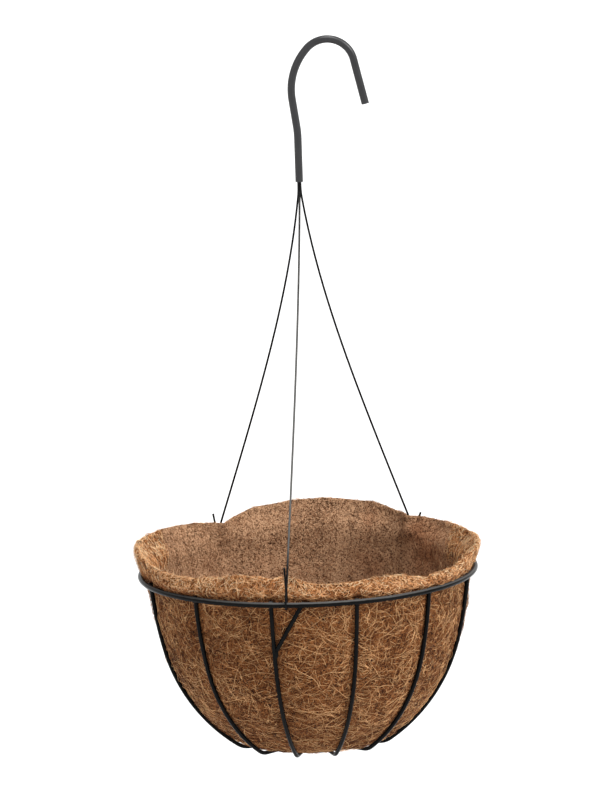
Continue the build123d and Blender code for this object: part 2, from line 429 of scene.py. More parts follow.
def sleeve_plastic():
    finish = Finish("sleeve_plastic")
    stretched = finish.node(
        "ShaderNodeMapping", {}, {"Vector": finish.places(), "Scale": STREAK_STRETCH}
    )
    streak = finish.noise(0.0012, detail=2.0, places=stretched)
    cloud = finish.noise(0.02, detail=3.0)
    colour = finish.ramp(
        streak * 0.45 + cloud * 0.55,
        [(0.35, opaque(0.007, 0.007, 0.008)), (0.68, opaque(0.016, 0.016, 0.018))],
    )
    finish.set(
        Base_Color=colour,
        Roughness=cloud * 0.14 + 0.32,
        Specular_IOR_Level=0.42,
        Normal=finish.bump(streak, 0.4, 0.00008),
    )
    return finish.material


dress(sleeve_plastic(), "hook_sleeve")
print("sleeve finished")

# %% [markdown]
# ## The felt's cross-section
# The liner is needled coconut fibre, pressed hot into a bowl. Cut through its axis, one
# side of it is a long bent strip: the outer face runs from the middle of the base up
# beside the ribs, the edge is rounded, and the inner face runs back down. The strip is
# walked as straight runs and arcs, as a bench bender would, and then read by its girth,
# the distance along it from the middle of the base.

# %% Walk the cross-section
WALL = 0.009
GAP = 0.0003
WELD = 0.0004
RIB_TOP_R = RIM_R - RIM_WIRE_R - RIB_WIRE_R + WELD
RIB_LEAN = 5.1
# Arcs of the side below the rim, as (radius, turn), and both faces of the standing edge,
# where None is a straight run. The outer face steps out over the ring and goes on leaning
# out, and the inner one flares out more to meet it, so the edge is thin.
SIDE = ((0.406, 10.2), (0.192, 37.7))
BASE_LEAN = 53.0
OUTER_EDGE = ((0.003, None), (0.005, 48.5), (0.002, None), (0.012, -40.0), (0.0145, None))
INNER_EDGE = ((0.001, None), (0.023, 38.0), (0.0108, None), (0.016, -23.0))
BOWL_DEPTH = BASKET.z - base_high.z - RIB_WIRE_R + WELD
SECTION_STEP = 0.0008
CAP_STEPS = 18


def walk(start, heading, steps):
    """Points along runs and arcs from start, as rows of radius and height.

    A run goes straight on. An arc's points are its centre plus its radius at evenly
    spaced angles. The heading is in degrees from up, positive towards the outside.
    """
    rows = [np.array([start])]
    place, heading = np.array(start), radians(heading)
    for size, turn in steps:
        if turn is None:
            count = max(2, int(size / SECTION_STEP))
            share = np.linspace(0, 1, count)[1:, None]
            ahead = np.array([sin(heading), cos(heading)])
            points = place + share * size * ahead
        else:
            count = max(2, int(size * abs(radians(turn)) / SECTION_STEP))
            turned = heading + radians(turn) * np.linspace(0, 1, count)[1:]
            side = size * np.sign(turn)
            points = place + side * np.stack(
                [cos(heading) - np.cos(turned), np.sin(turned) - sin(heading)], axis=1
            )
            heading = turned[-1]
        rows.append(points)
        place = points[-1]
    return np.concatenate(rows)


def face(depth, edge_steps):
    """Radius and height along one face of the felt, from the middle of the base up."""
    offset = -RIB_WIRE_R - GAP - depth
    side = walk((RIB_TOP_R + offset, 0.0), 180 + RIB_LEAN, [(r + offset, turn) for r, turn in SIDE])
    floor_z = -BOWL_DEPTH - offset
    corner_r = (side[-1, 1] - floor_z) / (1 - sin(radians(BASE_LEAN)))
    corner = walk(side[-1], 180 + BASE_LEAN, [(corner_r, 90 - BASE_LEAN)])
    flat = walk(corner[-1], 270, [(corner[-1, 0], None)])
    edge = walk(side[0], RIB_LEAN, edge_steps)
    return np.concatenate([flat[::-1], corner[-2::-1], side[-2::-1], edge[1:]])


def cross_section():
    """Both faces as one strip, and the rounded edge between them, a half circle that starts
    at one face and ends at the other. Also where that edge starts and ends in the strip."""
    outer, inner = face(0.0, OUTER_EDGE), face(WALL, INNER_EDGE)
    middle = (outer[-1] + inner[-1]) / 2
    out = (outer[-1] - inner[-1]) / 2
    up = np.array([-out[1], out[0]])
    angle = np.linspace(0, pi, CAP_STEPS + 1)[1:-1, None]
    cap = middle + out * np.cos(angle) + up * np.sin(angle)
    return np.concatenate([outer, cap, inner[::-1]]), len(outer), len(outer) + len(cap)


SECTION, CAP_START, CAP_END = cross_section()
GIRTH = np.concatenate([[0], np.cumsum(np.linalg.norm(np.diff(SECTION, axis=0), axis=1))])
ALONG = np.gradient(SECTION, GIRTH, axis=0)
OUTWARDS = np.stack([ALONG[:, 1], -ALONG[:, 0]], axis=1)
CUT_GIRTH = (GIRTH[CAP_START] + GIRTH[CAP_END]) / 2
EDGE_TOP = SECTION[:, 1].max()
# How much a point belongs to the outer face: 1 on it, easing to 0 over the cut edge.
OUTERNESS = np.interp(GIRTH, [GIRTH[CAP_START], GIRTH[CAP_END]], [1.0, 0.0])
print("girth", round(GIRTH[-1], 4), "m, the cut edge at", round(CUT_GIRTH, 4))
print("the edge stands", EDGE_TOP.round(4), "m above the rim")

# %% [markdown]
# ## From a section to the real felt
# A perfect turned bowl looks like plastic. On the real liner the cut edge wanders up and
# down, each clip presses it in, the felt swells between the ribs that hold it, and its
# face is lumpy. Each of these is a small formula of the azimuth and the height, added to
# the section. Azimuth 0 is the front, and it grows towards +X, as it does on the frame.

# %% The cut edge, the clips and the wires
CLIPS = np.radians([-7.6, 138.3, 213.5])
FIRST_RIB = radians(-13.2)
RIB_SPACING = tau / len(RIBS)
STOP_RIBS = FIRST_RIB + RIB_SPACING * np.array([0, 5, 7])
STOP_REACH = radians(11.2)
STOP_DROP = 0.0545
# Height of the cut edge above the rim: (azimuth in degrees, metres). It is highest at the
# back between the clips, dips beside them, and sinks in two long sags at the front.
CUT_EDGE = [
    (-180, 0.0425), (-165, 0.0365), (-148, 0.0270), (-130, 0.0300), (-98, 0.0320), (-82, 0.0290),
    (-54, 0.0190), (-22, 0.0285), (-10, 0.0255), (7, 0.0195), (20, 0.0215), (33, 0.0200),
    (47, 0.0145), (57, 0.0150), (80, 0.0250), (90, 0.0275), (119, 0.0265), (135, 0.0310),
    (144, 0.0325), (160, 0.0415), (180, 0.0425),
]
# From this height above the rim up, the felt stands free of the ring.
FREE_HEIGHT = 0.003
PINCH = 0.018
PINCH_REACH = radians(4.5)
PINCH_ROUND = radians(1.6)
PINCH_HEIGHT = 0.030
PINCH_POWER = 1.3
CURL = 0.010
CURL_HEIGHTS = 0.009, 0.034


def eased(value, low, high):
    """0 below low and 1 above high, with the smooth step 3t^2 - 2t^3 between."""
    share = np.clip((value - low) / (high - low), 0, 1)
    return share * share * (3 - 2 * share)


def turned_by(azimuth, other):
    """Signed angle from one azimuth to another, within half a turn."""
    return (azimuth - other + pi) % tau - pi


def cut_height(azimuth):
    """Height of the cut edge: it eases from each waypoint of CUT_EDGE to the next."""
    at, height = np.array(CUT_EDGE).T
    degrees_round = np.degrees(turned_by(azimuth, 0.0))
    after = np.clip(np.searchsorted(at, degrees_round), 1, len(at) - 1)
    share = eased(degrees_round, at[after - 1], at[after])
    return height[after - 1] + (height[after] - height[after - 1]) * share


def clip_push(azimuth, height):
    """How far the clips press the edge in. Stiff felt gives way as a rounded peak with long
    flanks, exp(-(sqrt(a^2 + b^2) - b) / c) of the angle a from the clip, times a power of a
    sine of the height, which starts at FREE_HEIGHT above the rim."""
    away = [np.hypot(turned_by(azimuth, clip), PINCH_ROUND) - PINCH_ROUND for clip in CLIPS]
    peaks = sum(np.exp(-angle / PINCH_REACH) for angle in away)
    share = np.clip((height - FREE_HEIGHT) / PINCH_HEIGHT, 0, 1)
    return PINCH * peaks * np.sin(pi / 2 * share) ** PINCH_POWER


def curled_in(azimuth, height):
    """How far the front's edge curls back in over the bowl: it eases in with the height,
    and from the sides to the front."""
    return CURL * eased(np.cos(azimuth), 0.0, 0.8) * eased(height, *CURL_HEIGHTS)


def off_wire(azimuth, radius, height):
    """Distance round the bowl to the nearest rib or clip stop. A stop runs from a point on
    its rib, STOP_DROP below the rim, to the ring, STOP_REACH round from that rib."""
    nearest = turned_by((azimuth - FIRST_RIB) * len(RIBS), 0.0) / len(RIBS)
    distance = np.abs(nearest) * radius
    share = 1 + np.clip(height, -STOP_DROP, 0.0) / STOP_DROP
    for rib in STOP_RIBS:
        from_stop = np.abs(turned_by(azimuth, rib + STOP_REACH * share)) * radius
        distance = np.minimum(distance, from_stop)
    return distance


def ripples(points, size, seed, waves=40):
    """Smooth random lumps about size metres wide: the sum of plane waves that run in
    random directions, scaled to a spread of 1."""
    random = np.random.default_rng(seed)
    ways = random.normal(size=(waves, 3))
    pitch = (pi / size) * random.uniform(0.6, 1.4, (waves, 1))
    ways *= pitch / np.linalg.norm(ways, axis=1, keepdims=True)
    phases = random.uniform(0, tau, waves)
    total = np.zeros(points.shape[:-1])
    for way, phase in zip(ways, phases):
        total += np.cos(points @ way + phase)
    return total * np.sqrt(2 / waves)


print("cut edge from", min(h for _, h in CUT_EDGE), "to", max(h for _, h in CUT_EDGE), "m high")

# %% [markdown]
# ## The felt as one function
# `felt` gives the point at any azimuth and girth, raised off the face by any lift. The
# shell and each of the fibres on it call this one function, so the fibres always lie on
# the shell, however its shape is changed. Heights here are above the rim, and depths below.

# %% The felt's surface
SWELL = 0.0014
SWELL_WIDTH = 0.011
SWELL_DEPTHS = 0.001, 0.030
SWELL_RADII = 0.075, 0.140
INNER_SWELL = 0.35
RING_PRESS = 0.0044
RING_PRESS_HEIGHT = 0.006
BASE_TUCK = 0.0030
BASE_TUCK_DEPTHS = 0.135, 0.168
BASE_TUCK_RADII = 0.060, 0.090
FLAT_DEPTH = 0.0030
FLAT_AT = radians(-88)
FLAT_WIDTH = radians(11)
# Lumps of the felt, as (spread in metres, size in metres, seed). Beside a wire they keep
# only the share PRESSED of their height.
LUMPS = (0.0005, 0.030, 11), (0.0003, 0.011, 12)
PRESSED = 0.25


def felt(azimuth, girth, lift=0.0):
    """Point at an azimuth and a girth, and the way out of the felt there.

    The section gives radius and height. The height above the rim is stretched to the cut
    edge's. The felt swells between the wires by a bell curve's rest, 1 - exp(-(d/width)^2)
    of the distance d to the nearest wire. It is also squeezed out under the ring and drawn
    in at the base, and one side is flatter, as no liner is quite round. These, the lumps
    and the lift move the point along the section's outward direction. Last, the clips' push
    and the curl are taken off the radius.
    """
    radius = np.interp(girth, GIRTH, SECTION[:, 0])
    height = np.interp(girth, GIRTH, SECTION[:, 1])
    outer = np.interp(girth, GIRTH, OUTERNESS)
    out_r = np.interp(girth, GIRTH, OUTWARDS[:, 0])
    out_z = np.interp(girth, GIRTH, OUTWARDS[:, 1])
    distance = off_wire(azimuth, radius, height)
    free = 1 - np.exp(-((distance / SWELL_WIDTH) ** 2))
    below = eased(-height, *SWELL_DEPTHS) * eased(radius, *SWELL_RADII)
    swell = SWELL * (INNER_SWELL + (1 - INNER_SWELL) * outer)
    flat = FLAT_DEPTH * np.exp(-((turned_by(azimuth, FLAT_AT) / FLAT_WIDTH) ** 2))
    ring_press = RING_PRESS * free ** 2 * np.exp(-((height / RING_PRESS_HEIGHT) ** 2)) * outer
    base_tuck = BASE_TUCK * free * eased(-height, *BASE_TUCK_DEPTHS)
    base_tuck = base_tuck * eased(radius, *BASE_TUCK_RADII) * outer
    spot = np.stack([radius * np.sin(azimuth), -radius * np.cos(azimuth), height], axis=-1)
    lumps = sum(spread * ripples(spot, size, seed) for spread, size, seed in LUMPS)
    held = np.where(height < FREE_HEIGHT, PRESSED + (1 - PRESSED) * free, 1.0)
    raised = (swell - flat) * free * below + ring_press - base_tuck + held * lumps + lift
    radius = radius + out_r * raised - clip_push(azimuth, height) - curled_in(azimuth, height)
    height = np.where(height > 0, height * cut_height(azimuth) / EDGE_TOP, height) + out_z * raised
    way = np.stack([out_r * np.sin(azimuth), -out_r * np.cos(azimuth), out_z], axis=-1)
    point = np.stack([radius * np.sin(azimuth), -radius * np.cos(azimuth), height], axis=-1)
    return point + np.array(BASKET), way


front, _ = felt(np.array([0.0]), np.array([CUT_GIRTH]))
print("middle of the cut edge at the front", front.round(4))

# %% [markdown]
# ## Where the felt changes its looks
# The outer face is coarse and golden brown and the inner face is rubbed greyer. At the back
# they meet at the cut edge, but at the sides and the front the edge is flared and fluffed,
# and the outer look runs on over it. The inside is also darker and redder in a few
# patches near the rear clips. Both are functions here, which the shell and the fibres on it share.

# %% The outer look and the darker patches
LOOK_REACH = 0.044
LOOK_FADES = radians(122), radians(109)
LOOK_BACK = 0.002
LOOK_SOFTNESS = 0.0025
FLARE_SOFTNESS = 0.014
# Darker, redder patches of the inside: azimuth in degrees, height above the rim, size, and strength.
DARK_PATCHES = [
    (127, 0.004, 0.022, 0.8), (134, 0.016, 0.012, 0.6), (119, -0.008, 0.016, 0.5),
    (130, -0.020, 0.016, 0.5), (111, 0.006, 0.012, 0.2), (156, 0.017, 0.009, 0.5),
    (153, -0.030, 0.012, 0.5), (158, -0.020, 0.010, 0.3), (-162, -0.022, 0.012, 0.2),
    (-139, -0.012, 0.014, 0.2),
]


def outer_look(azimuth, girth):
    """1 where the outer look shows and 0 where the inner one does. It eases from 1 to 0
    just before the cut edge at the back, and about LOOK_REACH past it, and more softly, at
    the sides and the front."""
    sideways = eased(-np.abs(turned_by(azimuth, 0.0)), -LOOK_FADES[0], -LOOK_FADES[1])
    reach = LOOK_REACH * sideways - LOOK_BACK
    soft = LOOK_SOFTNESS + FLARE_SOFTNESS * sideways
    return 1 - eased(girth - CUT_GIRTH - reach, -soft, soft)


def dark_patch_share(azimuth, girth):
    """How much a place lies in the darker patches: bell curves of the distance from each patch's
    middle, added up.
    """
    radius = np.interp(girth, GIRTH, SECTION[:, 0])
    height = np.interp(girth, GIRTH, SECTION[:, 1])
    total = 0.0
    for at, level, size, strength in DARK_PATCHES:
        aside = turned_by(azimuth, radians(at)) * radius
        total = total + strength * np.exp(-(aside ** 2 + (height - level) ** 2) / size ** 2)
    return np.clip(total, 0, 1) * (1 - outer_look(azimuth, girth))


print("dark_patches", len(DARK_PATCHES))

# %% [markdown]
# ## Tubes, many at a time
# The shell is a closed tube too: its rings run round the axis, and its two ends meet in
# the middle of the base. So one mesh builder serves the shell, the weld beads and tens of
# thousands of fibres. It lays out the faces of one tube and repeats their numbers with an
# offset, as whole arrays, which is far quicker than a loop over the fibres.


# %% The mesh builder
def tubes(name, rings, tips, material, body, map_start=0.0, map_width=1.0):
    """One mesh of closed tubes, on a body.

    rings has the shape (tube, ring, side, xyz) and tips (tube, 2, xyz). Side s of a ring
    joins side s + 1 and the next ring by a four-sided face, and a fan of three-sided
    faces closes each end on its tip. Sides run anticlockwise seen from the far end. On
    the mesh's own map, U is map_start plus map_width times the share of the way round,
    and V is the share of the way along.
    """
    count, ring_count, sides = rings.shape[:3]
    points = np.concatenate([rings.reshape(count, -1, 3), tips], axis=1)
    index = np.arange(ring_count * sides).reshape(ring_count, sides)
    after = np.roll(index, -1, axis=1)
    walls = np.stack([index[:-1], after[:-1], after[1:], index[1:]], axis=-1).reshape(-1)
    first_tip = np.full(sides, ring_count * sides)
    fans = np.stack([after[0], index[0], first_tip, index[-1], after[-1], first_tip + 1], axis=-1)
    corners = np.concatenate([walls, fans.reshape(-1)])
    totals = np.concatenate([np.full(len(walls) // 4, 4), np.full(2 * sides, 3)])
    corners = (corners + points.shape[1] * np.arange(count)[:, None]).reshape(-1)
    totals = np.tile(totals, count)

    side, ring = np.arange(sides), np.arange(ring_count - 1)
    wall_side = side[None, :, None] + np.array([0, 1, 1, 0]) + 0 * ring[:, None, None]
    wall_ring = ring[:, None, None] + np.array([1, 1, 2, 2]) + 0 * side[None, :, None]
    fan_side = side[:, None] + np.array([1, 0, 0.5, 0, 1, 0.5])
    fan_ring = np.array([1, 1, 0, ring_count, ring_count, ring_count + 1]) + 0 * fan_side
    round_share = np.concatenate([wall_side.reshape(-1), fan_side.reshape(-1)]) / sides
    along_share = np.concatenate([wall_ring.reshape(-1), fan_ring.reshape(-1)]) / (ring_count + 1)
    u = np.broadcast_to(map_start, count)[:, None] + map_width * round_share
    v = np.broadcast_to(along_share, u.shape)

    mesh = bpy.data.meshes.new(name)
    mesh.vertices.add(points.shape[0] * points.shape[1])
    mesh.vertices.foreach_set("co", points.reshape(-1).astype(np.float32))
    mesh.loops.add(len(corners))
    mesh.loops.foreach_set("vertex_index", corners.astype(np.int32))
    mesh.polygons.add(len(totals))
    starts = np.concatenate([[0], np.cumsum(totals)[:-1]])
    mesh.polygons.foreach_set("loop_start", starts.astype(np.int32))
    mesh.polygons.foreach_set("loop_total", totals.astype(np.int32))
    mesh.polygons.foreach_set("use_smooth", np.ones(len(totals), dtype=bool))
    mesh.update(calc_edges=True)
    chart = mesh.uv_layers.new(name="OFBake")
    chart.data.foreach_set("uv", np.stack([u, v], axis=-1).reshape(-1).astype(np.float32))
    mesh.materials.append(material)
    piece = bpy.data.objects.new(name, mesh)
    bpy.context.scene.collection.objects.link(piece)
    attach(piece, body)
    return piece


print("one builder for shell, beads and fibres, with the map", "OFBake")

# %% [markdown]
# ## Weld beads
# Where two wires of the frame meet they are welded, and the squeezed-out metal stands as a
# small bead on both sides of the joint, under the paint. A bead is an egg, whose rings
# have the radius sin(t) at the height -cos(t), squeezed to its three half widths.

# %% Bead the joints
BEAD_RINGS = 5
BEAD_SIDES = 10


def beads(name, azimuths, radius, height, half_widths):
    """Egg-shaped beads at azimuths, with half widths outwards, round and up."""
    azimuths = np.radians(azimuths)[:, None, None]
    rise = np.linspace(0, pi, BEAD_RINGS + 2)[None, 1:-1, None]
    turn = np.linspace(0, tau, BEAD_SIDES, endpoint=False)[None, None, :]
    out = radius + half_widths[0] * np.sin(rise) * np.cos(turn)
    side = -half_widths[1] * np.sin(rise) * np.sin(turn)
    up = height - half_widths[2] * np.cos(rise) + 0 * out
    x = out * np.sin(azimuths) + side * np.cos(azimuths)
    y = -out * np.cos(azimuths) + side * np.sin(azimuths)
    rings = np.stack([x, y, up + 0 * x], axis=-1) + np.array(BASKET)
    ends = np.array([height - half_widths[2], height + half_widths[2]])[None, :, None]
    foot = np.concatenate([radius * np.sin(azimuths), -radius * np.cos(azimuths)], axis=2)
    tips = np.concatenate([np.repeat(foot, 2, axis=1), np.repeat(ends, len(rings), axis=0)], axis=2)
    piece = tubes(name, rings, tips + np.array(BASKET), frame_paint, "basket")


rib_azimuths = np.degrees(FIRST_RIB + RIB_SPACING * np.arange(len(RIBS)))
head_azimuths = np.degrees(STOP_RIBS) + np.degrees(STOP_REACH)
# A stop's foot lies along the rib, so its bead sits a little up and round from the end. The
# rib's upper bend has the radius SIDE[0][0], and its lean at the foot gives how far in that is.
foot_azimuths = np.degrees(STOP_RIBS) + 0.45
foot_height = -STOP_DROP + 0.0012
foot_sine = sin(radians(RIB_LEAN)) + STOP_DROP / SIDE[0][0]
foot_radius = RIB_TOP_R - SIDE[0][0] * (cos(radians(RIB_LEAN)) - (1 - foot_sine ** 2) ** 0.5)
ring_inside = RIM_R - RIM_WIRE_R
base_inside = (base_high.x - base_low.x) / 2 - RIB_WIRE_R
base_top = base_high.z - BASKET.z
beads("rim_beads", rib_azimuths, ring_inside, -0.0008, (0.0016, 0.0030, 0.0036))
beads("base_beads", rib_azimuths, base_inside, base_top, (0.0032, 0.0028, 0.0014))
beads("stop_head_beads", head_azimuths, ring_inside, -0.0006, (0.0016, 0.0032, 0.0034))
beads("stop_foot_beads", foot_azimuths, foot_radius, foot_height, (0.0022, 0.0029, 0.0060))
print("beads on", len(rib_azimuths), "ribs and", len(foot_azimuths), "stops")

# %% [markdown]
# ## The felt's ground colour
# The mat itself is a tangle of fibres too fine to model one by one. Where a curled-up
# noise passes its middle value it draws thin winding lines, and three such patterns laid
# over each other make the tangle, with small dark pits where they leave gaps: the pits are
# painted shade, for the shadow down between the fibres. Broader patches are redder or
# paler, because the husks that the fibre came from weren't all alike. The inner face is
# rubbed by the press and greyer. Lines and pits also work in the bump, so light picks them
# out at any angle. Two attributes of the shell carry the outer look and the darker patches
# of the inside to the material. Just above the ring the felt is painted darker, a painted
# shade of the ring.

# %% Finish the felt
LINE_SHARPNESS = 10.0
# Three patterns of lines, as (pick, share): a fainter one is also a little finer.
LINE_SETS = (1.0, 1.0), (5.0, 0.8), (9.0, 0.6)
# Painted shade of the ring: the ground is darkened and reddened in a band just above it.
RING_SHADE_BAND = 0.020
RING_SHADE_STOPS = [
    (0.48, WHITE), (0.54, opaque(0.50, 0.42, 0.38)), (0.72, opaque(0.72, 0.68, 0.65)), (0.90, WHITE),
]
DARK_PATCH_TINT = opaque(0.85, 0.66, 0.56)


def tangle(finish, size):
    """Thin winding lines, 1 on a line and 0 off it, from three noises' middle values."""
    lines = 0.0
    for pick, share in LINE_SETS:
        level = finish.noise(size * (0.8 + 0.3 * share), detail=1.0, twist=1.6, pick=pick)
        line = 1.0 - abs(level - 0.5) * LINE_SHARPNESS
        lines = line.at_least(0.0) * share + lines
    return lines


def coir_ground():
    """The mat's finish: a tone of patches, lines and pits picks each face's colour."""
    finish = Finish("coir_ground")
    patches = finish.noise(0.060, detail=1.5, roughness=0.5)
    matting = finish.noise(0.0018, detail=2.0, roughness=0.8)
    lines = tangle(finish, 0.0028)
    height = finish.split(finish.places())[2] - BASKET.z
    ring_shade = finish.ramp(height / RING_SHADE_BAND + 0.5, RING_SHADE_STOPS)
    tone = matting * 1.60 + lines * 0.42 + patches * 0.30 - 0.66
    # The darkest stops of both ramps are painted shade: near-black pits for the shadow in the gaps
    # between fibres.
    outside = finish.ramp(tone, [
        (0.38, opaque(0.004, 0.001, 0.001)),
        (0.49, opaque(0.022, 0.006, 0.002)),
        (0.61, opaque(0.100, 0.031, 0.008)),
        (0.80, opaque(0.310, 0.120, 0.039)),
    ])
    inside = finish.ramp(tone, [
        (0.35, opaque(0.026, 0.009, 0.003)),
        (0.48, opaque(0.108, 0.044, 0.018)),
        (0.60, opaque(0.270, 0.132, 0.065)),
        (0.76, opaque(0.470, 0.275, 0.156)),
    ])
    outside = finish.tinted(outside, ring_shade)
    inside = finish.mix(finish.attribute("stain"), inside, finish.tinted(inside, DARK_PATCH_TINT))
    finish.set(
        Base_Color=finish.mix(finish.attribute("outer_look"), inside, outside),
        Roughness=matting * 0.2 + 0.72,
        Specular_IOR_Level=0.12,
        Normal=finish.bump(matting * 0.7 + lines * 0.4, 0.9, 0.0008),
    )
    return finish.material


felt_ground = coir_ground()
print("the felt's ground has", len(felt_ground.node_tree.nodes), "nodes")

# %% [markdown]
# ## The shell of the felt
# The shell is the felt on an even grid: columns round the axis, and rows along the section
# from the middle of the base, over the cut edge, to the middle of the inside. It takes the
# place of the plain CAD liner. Each look is a number per point, which Blender keeps as an
# attribute and shades smoothly between.

# %% Make the shell
COLUMNS = 384
ROWS = 248
azimuths = np.linspace(0, tau, COLUMNS, endpoint=False)[None, :]
girths = np.linspace(0, GIRTH[-1], ROWS + 2)[1:-1, None]
azimuth_grid, girth_grid = np.broadcast_arrays(azimuths, girths)
shell_points, _ = felt(azimuth_grid, girth_grid)
tip_points, _ = felt(np.zeros(2), GIRTH[[0, -1]])
tip_points[:, :2] = np.array(BASKET)[:2]
shell = tubes("coir_shell", shell_points[None], tip_points[None], felt_ground, "liner")
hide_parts("coir_liner")
for name, look in (("outer_look", outer_look), ("stain", dark_patch_share)):
    at_tips = [look(0.0, 0.0), look(0.0, GIRTH[-1])]
    values = np.append(look(azimuth_grid, girth_grid).reshape(-1), at_tips)
    attribute = shell.data.attributes.new(name, "FLOAT", "POINT")
    attribute.data.foreach_set("value", values.astype(np.float32))
print("shell faces", len(shell.data.polygons))

# %% [markdown]
# ## One fibre, and then thousands
# Coconut fibre is short, stiff and curly. Needles punched it into a mat, so nearly every
# fibre dives into the felt at both ends and arches a little way off it between. A fibre
# here is a walk on the felt's surface: a starting azimuth and girth, a heading that bends
# by a slow and a quick wave, and a lift that is below the surface at both ends. A thin
# three-sided tube is enough at this size. All fibres of a layer are worked out together.

# %% Walk the fibres
TUCK = 0.0004
HELD_DOWN = 0.8
HELD_REACH = 0.006
LEAST_GIRTH = 0.002
LEAST_TURN_R = 0.02


def fibre_lines(random, count, zone, look, length, stations, rise, level, curl):
    """Centre lines of fibres on the felt: points and ways out, shaped (fibre, station, xyz).

    The middle of each fibre is anywhere on the felt between the two girths of zone, with
    equal chance for equal area, but a place whose look isn't the fibre's own is left out
    by as much. Its heading is an angle from the horizontal, drawn evenly and then drawn
    towards the horizontal by level, from 0 to 1. The steps along the heading are sines
    and cosines of it, added up. The lift is -TUCK at the ends and adds
    rise * sin(pi t)^0.5 times an exponential draw between, less a share of HELD_DOWN
    beside a rib, which falls off as a bell curve of the distance over HELD_REACH.
    """
    girths = np.linspace(*zone, 400)
    area = np.cumsum(np.interp(girths, GIRTH, SECTION[:, 0]) + LEAST_GIRTH)
    middle_girth = np.interp(random.uniform(0, area[-1], count), area, girths)[:, None]
    middle_azimuth = random.uniform(0, tau, count)[:, None]
    unlike = np.abs(look - outer_look(middle_azimuth, middle_girth))
    kept = (random.uniform(0, 1, (count, 1)) >= unlike)[:, 0]
    middle_girth, middle_azimuth = middle_girth[kept], middle_azimuth[kept]
    count = kept.sum()
    share = np.linspace(0, 1, stations)
    between = (share[1:] + share[:-1]) / 2
    heading = random.uniform(-pi, pi, (count, 1))
    heading = heading - level * 0.5 * np.sin(2 * heading)
    slow = random.normal(0, 1.8 * curl, (count, 1))
    slow = slow * np.sin(pi * between + random.uniform(0, tau, (count, 1)))
    waves = random.uniform(1.0, 2.4, (count, 1))
    quick = random.normal(0, curl, (count, 1))
    quick = quick * np.sin(tau * waves * between + random.uniform(0, tau, (count, 1)))
    heading = heading + slow + quick
    step = random.uniform(*length, (count, 1)) / (stations - 1)

    def added_up(steps):
        run = np.concatenate([np.zeros((count, 1)), np.cumsum(steps, axis=1)], axis=1)
        return run - run.mean(axis=1, keepdims=True)

    girth = middle_girth + added_up(np.sin(heading) * step)
    girth = np.clip(girth, LEAST_GIRTH, GIRTH[-1] - LEAST_GIRTH)
    radius = np.maximum(np.interp(girth, GIRTH, SECTION[:, 0]), LEAST_TURN_R)
    step_radius = (radius[:, 1:] + radius[:, :-1]) / 2
    azimuth = middle_azimuth + added_up(np.cos(heading) * step / step_radius)
    height = np.minimum(random.exponential(rise, (count, 1)), 3 * rise)
    beside = (azimuth - FIRST_RIB + RIB_SPACING / 2) % RIB_SPACING - RIB_SPACING / 2
    loose = 1 - HELD_DOWN * np.exp(-((beside * radius / HELD_REACH) ** 2))
    lift = (height + TUCK) * loose * np.sin(pi * share).clip(0) ** 0.5 - TUCK
    points, ways = felt(azimuth, girth, lift)
    middle = middle_azimuth[:, 0], middle_girth[:, 0]
    return points, ways, outer_look(*middle), dark_patch_share(*middle)


print("fibres dive", TUCK, "m into the felt at both ends")

# %% [markdown]
# ## A fibre's thickness and tone
# Each fibre gets one tone from dark to light, drawn at random, and lies with it on the map.
# Neighbours are alike in broad patches. The felt is darker just above the ring, a painted
# shade of the ring, most of all at one side of the front. The outer face is also darker on
# the underside, a painted shade, and the inside is darker in its darker patches.

# %% Make a layer of fibres
FIBRE_SIDES = 3
LEAST_TAPER = 0.45
MAP_WIDTH = 0.02
PATCH_SIZE = 0.040
PATCH_TONE = 0.03
OUTER_PATCH_TONE = 0.04
# Painted shade of the ring on the fibres just above it, twice as dark at one side of the front.
RING_SHADE = 0.27
RING_SHADE_HEIGHT = 0.004
RING_SHADE_WIDTH = 0.007
DARKEST_AT = radians(-66)
DARKEST_REACH = radians(20)
DARK_PATCH_DEPTH = 0.11
# Painted shade: the outer face's fibres are darker towards the base, where the bowl faces down, away
# from the lamps.
UNDERSIDE_SHADE = 0.09
UNDERSIDE_SHADE_DEPTHS = 0.100, 0.165


def tone_shift(middle, outer, stain):
    """How much lighter or darker fibres are for where they lie: lumpy patches, less bell
    curves of the height and azimuth for the painted shade of the ring, the darker patches of
    the inside, and an easing for the painted shade of the underside. middle holds their
    places from the basket's middle, as rows of x, y and z."""
    x, y, height = middle.T
    patch = ripples(middle, PATCH_SIZE, 21)
    darkest_side = np.exp(-((turned_by(np.arctan2(x, -y), DARKEST_AT) / DARKEST_REACH) ** 2))
    ring_shade = RING_SHADE * (1 + darkest_side) * np.exp(-(((height - RING_SHADE_HEIGHT) / RING_SHADE_WIDTH) ** 2))
    lower_shade = UNDERSIDE_SHADE * eased(-height, *UNDERSIDE_SHADE_DEPTHS)
    patches = (PATCH_TONE + OUTER_PATCH_TONE * outer) * patch
    return patches - ring_shade * outer - DARK_PATCH_DEPTH * stain - lower_shade * outer


